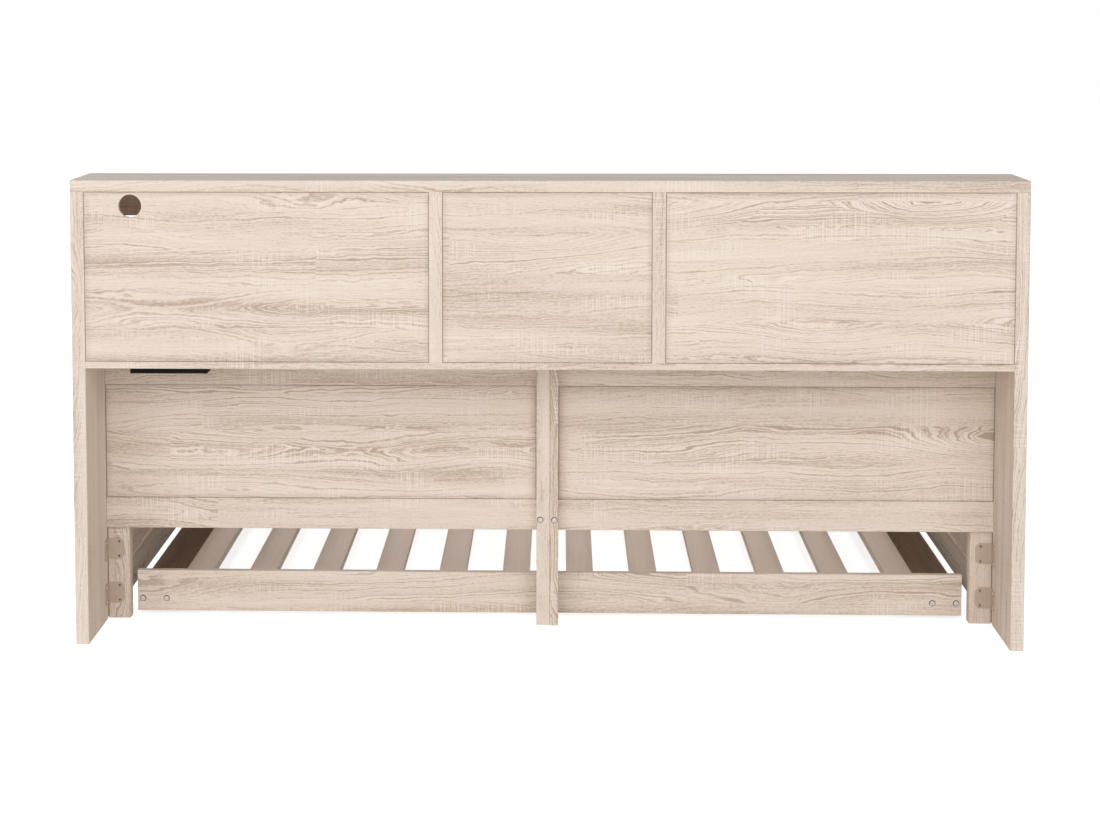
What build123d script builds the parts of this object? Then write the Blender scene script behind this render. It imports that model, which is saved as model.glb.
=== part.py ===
from build123d import *
import os

os.makedirs("parts", exist_ok=True)

# A daybed with a bookcase hutch along its back and a low trundle bed on wheels under it.
# X runs along the length, the open front faces -Y, and Z is up from the floor.
# The origin is on the floor under the middle of the whole piece.
# Depths are counted forwards from the rear plane of the hutch.

# Hutch
LENGTH = 2080.0
HEIGHT = 1028.0
HUTCH_DEPTH = 245.0
SIDE_T = 29.0
TOP_T = 25.0
SHELF_T = 15.0
DIVIDER_T = 29.0
DIVIDER_X = 242.5
CUBBY_BACK_T = 12.0
CUBBY_BACK_INSET = 2.0
VALANCE_H = 70.0
VALANCE_T = 18.0
WIRE_HOLE_D = 50.0
WIRE_HOLE_DROP = 31.0
WIRE_HOLE_FROM_SIDE = 102.0

# Power unit let into the shelf of the right-hand cubby
POWER_L = 173.0
POWER_W = 60.0
POWER_DROP = 25.0
POWER_WALL = 2.5
POWER_FROM_SIDE = 81.0
POWER_FROM_REAR = 102.0
POWER_CORNER_R = 4.0
POWER_FIT = 1.0
PLATE_LIP = 8.0
PLATE_T = 3.0
OUTLET_W = 36.0
OUTLET_D = 26.0
OUTLET_X = 28.0
OUTLET_SLOT_GAP = 12.7
OUTLET_SLOT_L = 8.0
OUTLET_SLOT_W = 2.2
OUTLET_GROUND_D = 5.0
OUTLET_GROUND_Y = 11.0
USB_W = 30.0
USB_H = 16.0
USB_D = 20.0
USB_PORT_L = 13.0
USB_PORT_W = 5.0
USB_PORT_GAP = 9.0
SOCKET_DEPTH = 12.0
GLAND_D = 14.0
GLAND_BORE = 8.0
GLAND_L = 9.0
MODULE_FIT = 0.3

# Daybed frame
MATTRESS_W = 990.0
MATTRESS_SPARE = 5.0
SIDE_FIT = 0.5
BACK_TOP_Z = 615.0
BACK_REAR = 238.0
BACK_RAIL_T = 24.0
BACK_RAIL_H = 70.0
BOTTOM_RAIL_Z = 213.5
PANEL_INSET = 2.0
PANEL_T = 10.0
GROOVE_DEPTH = 8.0
TONGUE_SPARE = 0.5
LEG_W = 50.0
LEG_D = 38.0
CENTRE_LEG_T = 31.0
CENTRE_WIDE_W = 31.0
CENTRE_NARROW_W = 19.0
CENTRE_NARROW_PROUD = 4.0
CENTRE_BOLT_X = 16.0
CENTRE_BOLT_UP = 29.5
END_T = 25.0
END_PANEL_T = 12.0
END_GAP_Z = 30.0
END_BOTTOM_RAIL_H = 77.0
END_TOP_RAIL_H = 75.0
FRONT_RAIL_T = 24.0
FRONT_RAIL_H = 90.0
FRONT_RAIL_INSET = 3.0
RAIL_BOLT_EDGE = 24.0
RAIL_BOLT_GRIP = 45.0
CLEAT = 24.0
CLEAT_END_GAP = 5.0
CLEAT_RISE = 2.0
BED_SLATS = 13
BED_SLAT_T = 18.0
SLAT_W = 64.0
SLAT_SIDE_GAP = 0.5
BED_SLAT_SET = 46.5
SLAT_END_GAP = 1.0

# Angle brackets between the rear legs and the hutch sides
BRACKET_T = 2.0
BRACKET_H = 48.0
BRACKET_LEG_FLANGE = 38.0
BRACKET_SIDE_FLANGE = 45.0
BRACKET_CORNER = 8.0
BRACKET_LOW_Z = 36.0
BRACKET_HIGH_Z = 138.0
BRACKET_SCREW_EDGE = 7.0
BRACKET_SCREW_REACH = 27.5

# Trundle
TRUNDLE_REAR = 280.0
TRUNDLE_SIDE_GAP = 12.5
TRUNDLE_RAIL_T = 22.0
TRUNDLE_RAIL_H = 94.0
TRUNDLE_RAIL_Z = 11.0
TRUNDLE_FRONT_T = 22.0
TRUNDLE_FRONT_Z = 15.0
TRUNDLE_FRONT_GAP = 5.0
TRUNDLE_FINGER_GAP = 22.0
SIDE_BOARD_W = 85.0
SIDE_BOARD_T = 12.0
SIDE_BOARD_TOP = 63.5
WEB_T = 22.0
WEB_Z = 13.0
INNER_WEB_SET = 66.6
TRUNDLE_SLATS = 12
TRUNDLE_SLAT_T = 18.0
TRUNDLE_BOLT_SET = 12.3
TRUNDLE_BOLT_UP = 28.5
WEB_BOLT_GRIP = 40.0

# Wheels
WHEEL_D = 44.0
WHEEL_W = 24.0
WHEEL_BEVEL = 2.0
WHEEL_RIM_T = 6.0
WHEEL_DISC_T = 8.0
HUB_D = 18.0
HUB_GAP = 0.5
AXLE_D = 8.0
AXLE_RUN = 0.06
AXLE_HEAD_D = 16.0
AXLE_HEAD_T = 2.5
AXLE_NUT_D = 13.0
AXLE_NUT_T = 6.0
WHEEL_FROM_RAIL = 110.0

# Small fittings and edges
DOWEL_D = 8.0
DOWEL_L = 30.0
DOWEL_FROM_EDGE = 60.0
TOP_DOWEL_DEPTH = 12.0
BOLT_D = 6.0
BOLT_HEAD_D = 12.0
BOLT_HEAD_T = 3.0
SCREW_HOLE_D = 5.0
EASE = 1.0
FRONT_EASE = 2.0

# Places worked out from the sizes above
LEG_REAR = BACK_REAR + PANEL_INSET + PANEL_T
DEPTH = LEG_REAR + LEG_D + MATTRESS_W + MATTRESS_SPARE + LEG_D
BACK_Y = DEPTH / 2
HALF = LENGTH / 2
SIDE_INNER = HALF - SIDE_T
LEG_OUTER = SIDE_INNER - SIDE_FIT
LEG_INNER = LEG_OUTER - LEG_W
END_INNER = LEG_OUTER - END_T
END_MID = LEG_OUTER - END_T / 2
TOP_UNDER = HEIGHT - TOP_T
SHELF_TOP = BACK_TOP_Z + SHELF_T
BOTTOM_RAIL_TOP = BOTTOM_RAIL_Z + BACK_RAIL_H
TOP_RAIL_Z = BACK_TOP_Z - BACK_RAIL_H
BACK_RAIL_FRONT = BACK_REAR + BACK_RAIL_T
LEG_FRONT = LEG_REAR + LEG_D
FRONT_LEG_REAR = DEPTH - LEG_D
FRONT_RAIL_REAR = DEPTH - FRONT_RAIL_INSET - FRONT_RAIL_T
CLEAT_Z = BOTTOM_RAIL_Z + CLEAT_RISE
BED_SLAT_PITCH = (2 * (LEG_INNER - BED_SLAT_SET) - SLAT_W) / (BED_SLATS - 1)
TRUNDLE_HALF = LEG_INNER - TRUNDLE_SIDE_GAP
TRUNDLE_SLAT_SPAN = 2 * (TRUNDLE_HALF - SIDE_BOARD_W - SLAT_SIDE_GAP)
TRUNDLE_SLAT_PITCH = (TRUNDLE_SLAT_SPAN - SLAT_W) / (TRUNDLE_SLATS - 1)
TRUNDLE_FRONT_REAR = DEPTH - FRONT_RAIL_INSET - TRUNDLE_FRONT_T
TRUNDLE_RAIL_FRONT = TRUNDLE_REAR + TRUNDLE_RAIL_T
SIDE_BOARD_UNDER = SIDE_BOARD_TOP - SIDE_BOARD_T
OUTER_WEB_INNER = TRUNDLE_HALF - WEB_T
INNER_WEB_OUTER = TRUNDLE_HALF - INNER_WEB_SET + WEB_T / 2
INNER_WEB_INNER = INNER_WEB_OUTER - WEB_T
WHEEL_X = (OUTER_WEB_INNER + INNER_WEB_OUTER) / 2
HUB_L = OUTER_WEB_INNER - INNER_WEB_OUTER - 2 * HUB_GAP
WHEEL_DEPTHS = {
    "rear": TRUNDLE_RAIL_FRONT + WHEEL_FROM_RAIL,
    "front": TRUNDLE_FRONT_REAR - WHEEL_FROM_RAIL,
}
POWER_X = SIDE_INNER - POWER_FROM_SIDE - POWER_L / 2
POWER_DEPTH = POWER_FROM_REAR + POWER_W / 2
SIDES = {"left": -1, "right": 1}

parts = {}


def y_at(depth):
    """Y of a plane the given distance in front of the hutch's rear plane."""
    return BACK_Y - depth


def board(x, depth, z):
    """A square-edged board between two X values, two depths and two heights."""
    x_low, x_high = sorted(x)
    size = Box(x_high - x_low, abs(depth[1] - depth[0]), z[1] - z[0])
    return Pos((x_low + x_high) / 2, y_at(sum(depth) / 2), sum(z) / 2) * size


def ease(part, axis, size=EASE):
    """Takes the sharpness off the edges that run along one axis."""
    return chamfer(part.edges().filter_by(axis), size)


def rod(start, direction, diameter, length):
    """A round bar from a point along a direction."""
    seat = Plane(origin=start, z_dir=direction)
    return seat * Cylinder(diameter / 2, length, align=(Align.CENTER, Align.CENTER, Align.MIN))


def both_ways(sign, x_inner, x_outer):
    """The X limits of a board on the left (sign -1) or the right (sign 1)."""
    return (sign * x_inner, sign * x_outer)


def bolt(seat, direction, grip):
    """A flat-headed bolt: its head stands on the seat, its shank runs along the direction."""
    into = Vector(*direction)
    head = rod(Vector(*seat) - into * BOLT_HEAD_T, into, BOLT_HEAD_D, BOLT_HEAD_T)
    return head + rod(seat, into, BOLT_D, grip)


# Where the dowels of the hutch sit: (point on the joint face, direction, depth beyond the face)
dowels = []
DOWEL_DEPTHS = (DOWEL_FROM_EDGE, HUTCH_DEPTH - DOWEL_FROM_EDGE)
for sign in SIDES.values():
    for depth in DOWEL_DEPTHS:
        y = y_at(depth)
        dowels.append(((sign * (HALF - SIDE_T / 2), y, TOP_UNDER), (0, 0, 1), TOP_DOWEL_DEPTH))
        dowels.append(((sign * DIVIDER_X, y, TOP_UNDER), (0, 0, 1), TOP_DOWEL_DEPTH))
        shelf_mid = SHELF_TOP - SHELF_T / 2
        dowels.append(((sign * SIDE_INNER, y, shelf_mid), (sign, 0, 0), DOWEL_L / 2))


def dowel(middle, direction, beyond):
    """A plain round dowel, with the stated length beyond the joint face."""
    into = Vector(*direction)
    start = Vector(*middle) - into * (DOWEL_L - beyond)
    return rod(start, into, DOWEL_D, DOWEL_L)


def drill_dowels(part):
    """Cuts the bore of every dowel that reaches into the board."""
    box = part.bounding_box()
    for middle, direction, beyond in dowels:
        peg = dowel(middle, direction, beyond)
        reach = peg.bounding_box()
        apart = (
            reach.min.X >= box.max.X or reach.max.X <= box.min.X
            or reach.min.Y >= box.max.Y or reach.max.Y <= box.min.Y
            or reach.min.Z >= box.max.Z or reach.max.Z <= box.min.Z
        )
        if not apart:
            part -= peg
    return part


def hutch_boards():
    """The bookcase: sides down to the floor, two-part top and shelf, dividers and three cubbies."""
    whole = (0, HUTCH_DEPTH)
    power = board(
        (POWER_X - POWER_L / 2 - POWER_FIT, POWER_X + POWER_L / 2 + POWER_FIT),
        (POWER_FROM_REAR - POWER_FIT, POWER_FROM_REAR + POWER_W + POWER_FIT),
        (BACK_TOP_Z, SHELF_TOP),
    )
    bays = {
        "left": (-SIDE_INNER, -DIVIDER_X - DIVIDER_T / 2),
        "centre": (-DIVIDER_X + DIVIDER_T / 2, DIVIDER_X - DIVIDER_T / 2),
        "right": (DIVIDER_X + DIVIDER_T / 2, SIDE_INNER),
    }
    back_depth = (CUBBY_BACK_INSET, CUBBY_BACK_INSET + CUBBY_BACK_T)
    valance_depth = (HUTCH_DEPTH - VALANCE_T, HUTCH_DEPTH)
    for side, sign in SIDES.items():
        upright = ease(board(both_ways(sign, SIDE_INNER, HALF), whole, (0, TOP_UNDER)), Axis.Z)
        parts[f"hutch_side_{side}"] = drill_dowels(upright)
        top = ease(board(both_ways(sign, 0, HALF), whole, (TOP_UNDER, HEIGHT)), Axis.X)
        parts[f"hutch_top_{side}"] = drill_dowels(top)
        shelf = board(both_ways(sign, 0, SIDE_INNER), whole, (BACK_TOP_Z, SHELF_TOP))
        shelf = drill_dowels(ease(shelf, Axis.X))
        parts[f"hutch_shelf_{side}"] = shelf - power if side == "right" else shelf
        edges = both_ways(sign, DIVIDER_X - DIVIDER_T / 2, DIVIDER_X + DIVIDER_T / 2)
        divider = ease(board(edges, whole, (SHELF_TOP, TOP_UNDER)), Axis.Z)
        parts[f"hutch_divider_{side}"] = drill_dowels(divider)
    wire_hole = rod(
        (SIDE_INNER - WIRE_HOLE_FROM_SIDE, y_at(0), TOP_UNDER - WIRE_HOLE_DROP),
        (0, -1, 0),
        WIRE_HOLE_D,
        CUBBY_BACK_INSET + CUBBY_BACK_T,
    )
    for name, bay in bays.items():
        back = board(bay, back_depth, (SHELF_TOP, TOP_UNDER))
        parts[f"hutch_back_{name}"] = back - wire_hole if name == "right" else back
        valance = board(bay, valance_depth, (TOP_UNDER - VALANCE_H, TOP_UNDER))
        parts[f"hutch_valance_{name}"] = ease(valance, Axis.X)
    parts["hutch_dowels"] = Compound([dowel(*place) for place in dowels])


def outlet(x):
    """A mains socket block with two blades' slots and a round earth hole, in its moulded body."""
    height = PLATE_T + OUTLET_D
    body = board(
        (x - OUTLET_W / 2, x + OUTLET_W / 2),
        (POWER_DEPTH - OUTLET_W / 2, POWER_DEPTH + OUTLET_W / 2),
        (SHELF_TOP + PLATE_T - height, SHELF_TOP + PLATE_T),
    )
    body = fillet(body.edges().filter_by(Axis.Z), POWER_CORNER_R)
    face = Plane(origin=(x, y_at(POWER_DEPTH), SHELF_TOP + PLATE_T), z_dir=(0, 0, -1))
    slots = Sketch() + [
        loc * Rectangle(OUTLET_SLOT_W, OUTLET_SLOT_L)
        for loc in GridLocations(OUTLET_SLOT_GAP, 1, 2, 1)
    ]
    slots += Pos(0, OUTLET_GROUND_Y) * Circle(OUTLET_GROUND_D / 2)
    return body - extrude(face * slots, SOCKET_DEPTH)


def power_unit():
    """The black unit in the shelf: a thin moulded tub below, a plate on top, sockets between."""
    tub = board(
        (POWER_X - POWER_L / 2, POWER_X + POWER_L / 2),
        (POWER_FROM_REAR, POWER_FROM_REAR + POWER_W),
        (BACK_TOP_Z - POWER_DROP, SHELF_TOP),
    )
    tub = fillet(tub.edges().filter_by(Axis.Z), POWER_CORNER_R)
    tub = offset(tub, amount=-POWER_WALL, openings=tub.faces().sort_by(Axis.Z)[-1])
    inlet = (POWER_X, y_at(POWER_FROM_REAR + POWER_W - POWER_WALL), BACK_TOP_Z - POWER_DROP / 2)
    tub += rod(inlet, (0, -1, 0), GLAND_D, POWER_WALL + GLAND_L)
    parts["power_housing"] = tub - rod(inlet, (0, -1, 0), GLAND_BORE, POWER_WALL + GLAND_L)
    plate = board(
        (POWER_X - POWER_L / 2 - PLATE_LIP, POWER_X + POWER_L / 2 + PLATE_LIP),
        (POWER_FROM_REAR - PLATE_LIP, POWER_FROM_REAR + POWER_W + PLATE_LIP),
        (SHELF_TOP, SHELF_TOP + PLATE_T),
    )
    plate = fillet(plate.edges().filter_by(Axis.Z), POWER_CORNER_R)
    plate = chamfer(plate.faces().sort_by(Axis.Z)[-1].edges(), EASE)
    hole_z = (SHELF_TOP, SHELF_TOP + PLATE_T)
    gap = MODULE_FIT
    outlets = []
    for x in (POWER_X - POWER_L / 2 + OUTLET_X, POWER_X + POWER_L / 2 - OUTLET_X):
        reach = OUTLET_W / 2 + gap
        cut = board((x - reach, x + reach), (POWER_DEPTH - reach, POWER_DEPTH + reach), hole_z)
        plate -= fillet(cut.edges().filter_by(Axis.Z), POWER_CORNER_R)
        outlets.append(outlet(x))
    plate -= board(
        (POWER_X - USB_W / 2 - gap, POWER_X + USB_W / 2 + gap),
        (POWER_DEPTH - USB_H / 2 - gap, POWER_DEPTH + USB_H / 2 + gap),
        hole_z,
    )
    parts["power_faceplate"] = plate
    parts["power_outlets"] = Compound(outlets)
    usb = board(
        (POWER_X - USB_W / 2, POWER_X + USB_W / 2),
        (POWER_DEPTH - USB_H / 2, POWER_DEPTH + USB_H / 2),
        (SHELF_TOP + PLATE_T - USB_D, SHELF_TOP + PLATE_T),
    )
    face = Plane(origin=(POWER_X, y_at(POWER_DEPTH), SHELF_TOP + PLATE_T), z_dir=(0, 0, -1))
    ports = Sketch() + [
        loc * Rectangle(USB_PORT_L, USB_PORT_W) for loc in GridLocations(1, USB_PORT_GAP, 1, 2)
    ]
    parts["usb_module"] = usb - extrude(face * ports, SOCKET_DEPTH)


def back_rail(sign, low, groove_up):
    """Half of a rail of the back: grooved for the panel, its end halved over the leg."""
    depth = (BACK_REAR, BACK_RAIL_FRONT)
    rail = ease(board(both_ways(sign, 0, LEG_OUTER), depth, (low, low + BACK_RAIL_H)), Axis.X)
    lap = both_ways(sign, LEG_INNER - SIDE_FIT, LEG_OUTER)
    rail -= board(lap, (LEG_REAR, BACK_RAIL_FRONT), (low, low + BACK_RAIL_H))
    groove_z = (low + BACK_RAIL_H - GROOVE_DEPTH, low + BACK_RAIL_H) if groove_up else (
        low, low + GROOVE_DEPTH)
    groove = board(both_ways(sign, 0, LEG_OUTER), (BACK_REAR + PANEL_INSET, LEG_REAR), groove_z)
    return rail - groove


def centre_strips():
    """X limits and rear depth of the two strips that make the centre leg."""
    half = (CENTRE_WIDE_W + CENTRE_NARROW_W) / 2
    rear = BACK_REAR - CENTRE_LEG_T
    return {
        "wide": ((half - CENTRE_WIDE_W, half), rear),
        "narrow": ((-half, half - CENTRE_WIDE_W), rear - CENTRE_NARROW_PROUD),
    }


def daybed_back():
    """Two framed panels that meet behind the centre leg and lap over the rear legs."""
    tongue = GROOVE_DEPTH - TONGUE_SPARE
    bolt_z = BOTTOM_RAIL_Z + CENTRE_BOLT_UP
    bolts = []
    for side, sign in SIDES.items():
        bolt_x = sign * CENTRE_BOLT_X
        strip_rear = centre_strips()["wide" if side == "right" else "narrow"][1]
        grip = BACK_RAIL_FRONT - strip_rear
        bolts.append(bolt((bolt_x, y_at(strip_rear), bolt_z), (0, -1, 0), grip))
        through = rod((bolt_x, y_at(0), bolt_z), (0, -1, 0), BOLT_D, BACK_RAIL_FRONT)
        parts[f"back_top_rail_{side}"] = back_rail(sign, TOP_RAIL_Z, False)
        parts[f"back_bottom_rail_{side}"] = back_rail(sign, BOTTOM_RAIL_Z, True) - through
        parts[f"back_panel_{side}"] = board(
            both_ways(sign, 0, LEG_OUTER),
            (BACK_REAR + PANEL_INSET, LEG_REAR),
            (BOTTOM_RAIL_TOP - tongue, TOP_RAIL_Z + tongue),
        )
        for name, (x, rear) in centre_strips().items():
            if (name == "wide") == (side == "right"):
                strip = ease(board(x, (rear, BACK_REAR), (0, BACK_TOP_Z)), Axis.Z)
                parts[f"centre_leg_{name}_strip"] = strip - through
    parts["centre_leg_bolts"] = Compound(bolts)


def angle_bracket(sign, low):
    """A pressed angle bracket: two flanges with clipped outer corners and two screw holes each."""
    height = (low, low + BRACKET_H)
    leg_flange = board(
        both_ways(sign, SIDE_INNER - BRACKET_LEG_FLANGE, SIDE_INNER),
        (LEG_REAR - BRACKET_T, LEG_REAR),
        height,
    )
    outer = leg_flange.edges().filter_by(Axis.Y).sort_by(lambda edge: abs(edge.center().X))[:2]
    side_flange = board(
        both_ways(sign, SIDE_INNER - BRACKET_T, SIDE_INNER),
        (LEG_REAR - BRACKET_SIDE_FLANGE, LEG_REAR),
        height,
    )
    rear = side_flange.edges().filter_by(Axis.X).sort_by(Axis.Y)[-2:]
    angle = chamfer(outer, BRACKET_CORNER) + chamfer(rear, BRACKET_CORNER)
    leg_screw_x = sign * (SIDE_INNER - BRACKET_SCREW_REACH)
    side_screw_y = y_at(LEG_REAR - BRACKET_SCREW_REACH)
    for z in (low + BRACKET_SCREW_EDGE, low + BRACKET_H - BRACKET_SCREW_EDGE):
        angle -= rod((leg_screw_x, y_at(LEG_REAR), z), (0, 1, 0), SCREW_HOLE_D, BRACKET_T)
        angle -= rod((sign * SIDE_INNER, side_screw_y, z), (-sign, 0, 0), SCREW_HOLE_D, BRACKET_T)
    return angle


def brackets():
    """Two brackets on each rear leg tie the bed to the hutch sides."""
    levels = (BRACKET_LOW_Z, BRACKET_HIGH_Z)
    angles = [angle_bracket(sign, low) for sign in SIDES.values() for low in levels]
    parts["corner_brackets"] = Compound(angles)


def leg(sign, depth, groove_depth):
    """A square-edged leg with a groove down one face for the end frame's rails and panel."""
    post = board(both_ways(sign, LEG_INNER, LEG_OUTER), depth, (0, BACK_TOP_Z))
    post = ease(post, Axis.Z)
    groove_x = both_ways(sign, END_MID - END_PANEL_T / 2, END_MID + END_PANEL_T / 2)
    return post - board(groove_x, groove_depth, (END_GAP_Z, BACK_TOP_Z))


def end_rail(sign, z, groove_z):
    """A rail of an end frame, grooved for the panel and with a stub tenon at each end."""
    tenon = GROOVE_DEPTH - TONGUE_SPARE
    x = both_ways(sign, END_INNER, LEG_OUTER)
    rail = board(x, (LEG_FRONT, FRONT_LEG_REAR), z)
    rail = ease(rail, Axis.Y)
    tenon_x = both_ways(sign, END_MID - END_PANEL_T / 2, END_MID + END_PANEL_T / 2)
    rail += board(tenon_x, (LEG_FRONT - tenon, FRONT_LEG_REAR + tenon), z)
    return rail - board(tenon_x, (LEG_FRONT - tenon, FRONT_LEG_REAR + tenon), groove_z)


def end_frames():
    """The two ends: legs, rails with stub tenons, and a floating panel."""
    tongue = GROOVE_DEPTH - TONGUE_SPARE
    low_top = END_GAP_Z + END_BOTTOM_RAIL_H
    high_low = BACK_TOP_Z - END_TOP_RAIL_H
    bolts = []
    for side, sign in SIDES.items():
        rear_leg = leg(sign, (LEG_REAR, LEG_FRONT), (LEG_FRONT - GROOVE_DEPTH, LEG_FRONT))
        parts[f"rear_leg_{side}"] = rear_leg
        groove = (FRONT_LEG_REAR, FRONT_LEG_REAR + GROOVE_DEPTH)
        front_leg = leg(sign, (FRONT_LEG_REAR, DEPTH), groove)
        for start, grip in rail_bolts(sign):
            seat = start - Vector(sign, 0, 0) * BOLT_HEAD_T
            bolts.append(bolt(seat, (-sign, 0, 0), grip))
            front_leg -= rod(start, (-sign, 0, 0), BOLT_HEAD_D, BOLT_HEAD_T)
            front_leg -= rod(start, (-sign, 0, 0), BOLT_D, LEG_W)
        parts[f"front_leg_{side}"] = front_leg
        parts[f"end_bottom_rail_{side}"] = end_rail(
            sign, (END_GAP_Z, low_top), (low_top - GROOVE_DEPTH, low_top))
        top_rail = end_rail(sign, (high_low, BACK_TOP_Z), (high_low, high_low + GROOVE_DEPTH))
        parts[f"end_top_rail_{side}"] = top_rail
        parts[f"end_panel_{side}"] = board(
            both_ways(sign, END_MID - END_PANEL_T / 2, END_MID + END_PANEL_T / 2),
            (LEG_FRONT - tongue, FRONT_LEG_REAR + tongue),
            (low_top - tongue, high_low + tongue),
        )
    parts["front_rail_bolts"] = Compound(bolts)


def rail_bolts(sign):
    """Start point on the leg's outer face and grip of the bolts into one end of the front rail."""
    y = y_at(FRONT_RAIL_REAR + FRONT_RAIL_T / 2)
    grip = LEG_W + RAIL_BOLT_GRIP - BOLT_HEAD_T
    heights = (BOTTOM_RAIL_Z + RAIL_BOLT_EDGE, BOTTOM_RAIL_Z + FRONT_RAIL_H - RAIL_BOLT_EDGE)
    return [(Vector(sign * LEG_OUTER, y, z), grip) for z in heights]


def slats(count, pitch, depth, z):
    """A row of equal slats that run from back to front, centred on the bed."""
    rows = GridLocations(pitch, 1, count, 1)
    return Compound([
        board((row.position.X - SLAT_W / 2, row.position.X + SLAT_W / 2), depth, z) for row in rows
    ])


def bed_base():
    """The front rail, the cleats along both rails and the slats that carry the mattress."""
    depth = (FRONT_RAIL_REAR, FRONT_RAIL_REAR + FRONT_RAIL_T)
    rail = board((-LEG_INNER, LEG_INNER), depth, (BOTTOM_RAIL_Z, BOTTOM_RAIL_Z + FRONT_RAIL_H))
    rail = ease(rail, Axis.X)
    for sign in SIDES.values():
        for start, _ in rail_bolts(sign):
            rail -= rod(start, (-sign, 0, 0), BOLT_D, LEG_W + RAIL_BOLT_GRIP)
    parts["front_rail"] = rail
    ends = (CLEAT_END_GAP - LEG_INNER, LEG_INNER - CLEAT_END_GAP)
    z = (CLEAT_Z, CLEAT_Z + CLEAT)
    rear_cleat = board(ends, (BACK_RAIL_FRONT, BACK_RAIL_FRONT + CLEAT), z)
    front_cleat = board(ends, (FRONT_RAIL_REAR - CLEAT, FRONT_RAIL_REAR), z)
    parts["rear_slat_cleat"] = ease(rear_cleat, Axis.X)
    parts["front_slat_cleat"] = ease(front_cleat, Axis.X)
    slat_depth = (BACK_RAIL_FRONT + SLAT_END_GAP, FRONT_RAIL_REAR - SLAT_END_GAP)
    slat_z = (CLEAT_Z + CLEAT, CLEAT_Z + CLEAT + BED_SLAT_T)
    parts["bed_slats"] = slats(BED_SLATS, BED_SLAT_PITCH, slat_depth, slat_z)


def web_axle_holes(web):
    """Bores the two axle holes of one side through a web of the trundle."""
    side = 1 if web.center().X > 0 else -1
    for depth in WHEEL_DEPTHS.values():
        start = (side * INNER_WEB_INNER, y_at(depth), WHEEL_D / 2)
        web -= rod(start, (side, 0, 0), AXLE_D, TRUNDLE_HALF - INNER_WEB_INNER)
    return web


def trundle_frame():
    """The low bed: rear rail, front panel and at each end a hollow beam that holds the wheels."""
    rail_z = (TRUNDLE_RAIL_Z, TRUNDLE_RAIL_Z + TRUNDLE_RAIL_H)
    rail = board((-TRUNDLE_HALF, TRUNDLE_HALF), (TRUNDLE_REAR, TRUNDLE_RAIL_FRONT), rail_z)
    rail = ease(rail, Axis.X)
    front_half = LEG_INNER - TRUNDLE_FRONT_GAP
    front_z = (TRUNDLE_FRONT_Z, BOTTOM_RAIL_Z - TRUNDLE_FINGER_GAP)
    front_depth = (TRUNDLE_FRONT_REAR, TRUNDLE_FRONT_REAR + TRUNDLE_FRONT_T)
    front = ease(board((-front_half, front_half), front_depth, front_z), Axis.X, FRONT_EASE)
    parts["trundle_front_panel"] = front
    beam_depth = (TRUNDLE_RAIL_FRONT, TRUNDLE_FRONT_REAR)
    bolt_z = TRUNDLE_RAIL_Z + TRUNDLE_BOLT_UP
    bolts = []
    for side, sign in SIDES.items():
        webs = []
        for x_inner, x_outer in (
            (INNER_WEB_INNER, INNER_WEB_OUTER),
            (OUTER_WEB_INNER, TRUNDLE_HALF),
        ):
            web = board(both_ways(sign, x_inner, x_outer), beam_depth, (WEB_Z, SIDE_BOARD_UNDER))
            webs.append(web_axle_holes(ease(web, Axis.Y)))
        for end_set in (TRUNDLE_BOLT_SET, INNER_WEB_SET):
            seat = (sign * (TRUNDLE_HALF - end_set), y_at(TRUNDLE_REAR), bolt_z)
            reach = TRUNDLE_RAIL_T + WEB_BOLT_GRIP
            hole = rod(seat, (0, -1, 0), BOLT_D, reach)
            webs = [web - hole for web in webs]
            rail -= hole
            bolts.append(bolt(seat, (0, -1, 0), reach))
        parts[f"trundle_webs_{side}"] = Compound(webs)
        parts[f"trundle_side_board_{side}"] = ease(board(
            both_ways(sign, TRUNDLE_HALF - SIDE_BOARD_W, TRUNDLE_HALF),
            beam_depth,
            (SIDE_BOARD_UNDER, SIDE_BOARD_TOP),
        ), Axis.Y)
    parts["trundle_rear_rail"] = rail
    parts["trundle_bolts"] = Compound(bolts)
    slat_low = SIDE_BOARD_TOP - TRUNDLE_SLAT_T
    ends = (CLEAT_END_GAP - INNER_WEB_INNER, INNER_WEB_INNER - CLEAT_END_GAP)
    cleat_z = (slat_low - CLEAT, slat_low)
    rear_cleat = board(ends, (TRUNDLE_RAIL_FRONT, TRUNDLE_RAIL_FRONT + CLEAT), cleat_z)
    front_cleat = board(ends, (TRUNDLE_FRONT_REAR - CLEAT, TRUNDLE_FRONT_REAR), cleat_z)
    parts["trundle_rear_cleat"] = ease(rear_cleat, Axis.X)
    parts["trundle_front_cleat"] = ease(front_cleat, Axis.X)
    slat_depth = (TRUNDLE_RAIL_FRONT + SLAT_END_GAP, TRUNDLE_FRONT_REAR - SLAT_END_GAP)
    slat_z = (slat_low, SIDE_BOARD_TOP)
    parts["trundle_slats"] = slats(TRUNDLE_SLATS, TRUNDLE_SLAT_PITCH, slat_depth, slat_z)


def wheel_profile():
    """Half section of a wheel about its axle: bevelled rim, thin disc and a long hub."""
    rim = WHEEL_W / 2
    outer = WHEEL_D / 2
    rim_inner = outer - WHEEL_RIM_T
    disc = WHEEL_DISC_T / 2
    hub = HUB_L / 2
    hub_r = HUB_D / 2
    bore = AXLE_D / 2 + AXLE_RUN
    half = [
        (bore, hub), (hub_r, hub), (hub_r, disc), (rim_inner, disc), (rim_inner, rim),
        (outer - WHEEL_BEVEL, rim), (outer, rim - WHEEL_BEVEL),
    ]
    outline = half + [(radius, -along) for radius, along in reversed(half)]
    return make_face(Polyline(outline, close=True))


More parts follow.
